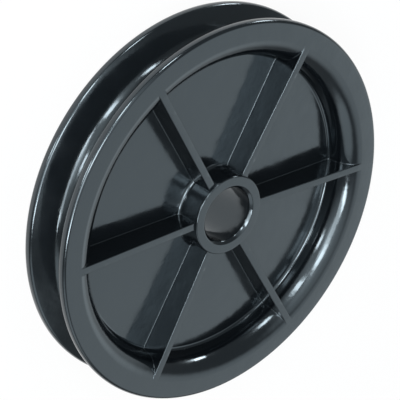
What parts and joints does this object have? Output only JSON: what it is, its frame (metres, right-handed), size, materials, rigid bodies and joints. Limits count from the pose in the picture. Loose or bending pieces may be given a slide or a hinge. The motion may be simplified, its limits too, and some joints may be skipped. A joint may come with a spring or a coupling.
{
  "type": "wire rope sheave",
  "caption": "Flat round rope pulley moulded in black nylon, with a grooved rim, a thin web stiffened by radial ribs on both sides and a plain-bored hub.",
  "frame": {"origin": "centre of the bore, in the middle plane of the sheave", "axes": "+Z along the bore, out of the front flange face; +X along one rib"},
  "size_m": [0.14, 0.14, 0.022],
  "materials": {
    "black_nylon": "satin gloss, moulded"
  },
  "bodies": {
    "root": {"sheave": "black_nylon"}
  },
  "joints": []
}
